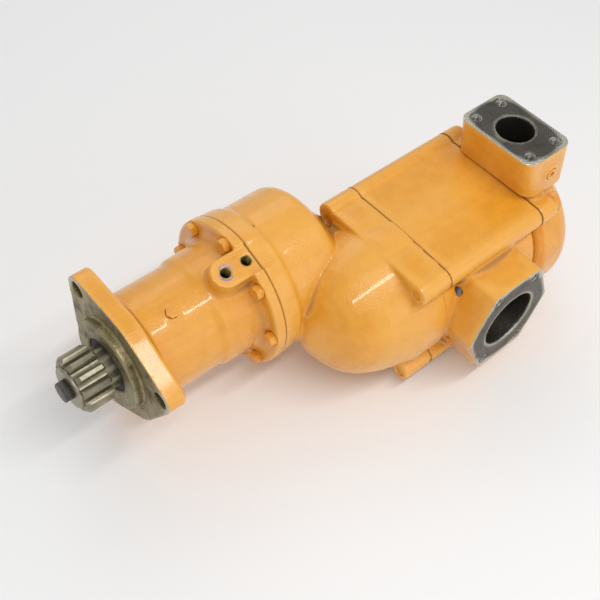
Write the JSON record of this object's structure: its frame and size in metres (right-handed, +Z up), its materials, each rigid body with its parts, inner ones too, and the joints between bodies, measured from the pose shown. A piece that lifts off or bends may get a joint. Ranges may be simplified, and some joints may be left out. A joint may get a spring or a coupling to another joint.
{
  "type": "air starting motor",
  "caption": "Pre-engaged air starting motor with a flanged drive end, offset vane motor, square air inlet, six-sided exhaust port and a sliding toothed pinion.",
  "frame": {"origin": "centre of the mounting face on the drive axis, where the pilot meets the flange", "axes": "+X rearward along the drive axis, the pinion points to -X; +Z up towards the air inlet; the exhaust faces -Y"},
  "size_m": [0.5278, 0.2626, 0.2096],
  "materials": {
    "bearing_bronze": "sintered bronze, oiled",
    "bearing_steel": "ground and polished",
    "black_oxide_steel": "black oxide",
    "cast_aluminium": "turned",
    "gasket_fibre": "pressed fibre sheet",
    "gear_steel": "hobbed, oiled",
    "liner_iron": "honed",
    "painted_drive_housing": "ductile iron casting, gloss machine enamel, bare machined mounting face",
    "painted_gear_case": "ductile iron casting, gloss machine enamel",
    "painted_hardware": "steel fasteners painted over with the castings",
    "painted_motor_housing": "grey iron casting, gloss machine enamel, bare machined exhaust face",
    "painted_rear_head": "grey iron casting, gloss machine enamel, bare machined inlet face",
    "pinion_steel": "case-hardened steel, dull oiled",
    "rotor_steel": "ground",
    "seal_rubber": "matt black",
    "shaft_steel": "ground",
    "spring_steel": "oil-tempered wire",
    "vane_composite": "pressed fibre and resin",
    "washer_steel": "turned, dull"
  },
  "bodies": {
    "housing": {"barrel_plug": "painted_hardware", "bulkhead": "cast_aluminium", "bulkhead_inner_seal": "seal_rubber", "bulkhead_outer_seal": "seal_rubber", "drive_gasket": "gasket_fibre", "drive_housing": "painted_drive_housing", "front_bushing": "bearing_bronze", "front_end_plate": "liner_iron", "gear_bearing_balls": "bearing_steel", "gear_bearing_outer_rings": "bearing_steel", "gear_case": "painted_gear_case", "housing_lock_washers": "painted_hardware", "housing_screws": "painted_hardware", "inlet_plug": "painted_hardware", "motor_bearing_balls": "bearing_steel", "motor_bearing_outer_rings": "bearing_steel", "motor_gasket": "gasket_fibre", "motor_housing": "painted_motor_housing", "motor_liner": "liner_iron", "pinion_seal": "seal_rubber", "rear_end_plate": "liner_iron", "rear_head": "painted_rear_head", "rear_head_gasket": "gasket_fibre", "return_spring": "spring_steel", "tie_bolt_washers": "painted_hardware", "tie_bolts": "painted_hardware"},
    "carriage": {"engagement_piston": "cast_aluminium", "piston_ring": "seal_rubber", "piston_bearing_outer_ring": "bearing_steel", "piston_bearing_balls": "bearing_steel"},
    "output": {"output_shaft": "shaft_steel", "drive_pinion": "pinion_steel", "pinion_washer": "washer_steel", "pinion_screw": "black_oxide_steel", "piston_bearing_inner_ring": "bearing_steel"},
    "gear": {"drive_gear": "gear_steel", "gear_bearing_inner_rings": "bearing_steel"},
    "rotor": {"rotor": "rotor_steel", "vanes": "vane_composite", "rotor_pinion": "gear_steel", "motor_bearing_inner_rings": "bearing_steel"}
  },
  "joints": [
    {"name": "engage_slide", "type": "slide", "parent": "housing", "child": "carriage", "axis": [-1, 0, 0], "range_m": [0, 0.022], "stiffness_N_per_m": 3000, "springref_m": -0.02, "deforming": ["return_spring"]},
    {"name": "output_spin", "type": "hinge", "parent": "carriage", "child": "output", "pos_m": [0, 0, 0], "axis": [1, 0, 0], "continuous": true},
    {"name": "gear_spin", "type": "hinge", "parent": "housing", "child": "gear", "pos_m": [0, 0, 0], "axis": [1, 0, 0], "continuous": true},
    {"name": "rotor_spin", "type": "hinge", "parent": "housing", "child": "rotor", "pos_m": [0, -0.07695, -0.01947], "axis": [1, 0, 0], "continuous": true}
  ],
  "couplings": [
    {"joint": "gear_spin", "follows": "rotor_spin", "ratio": -0.28205},
    {"joint": "output_spin", "follows": "rotor_spin", "ratio": -0.28205}
  ]
}
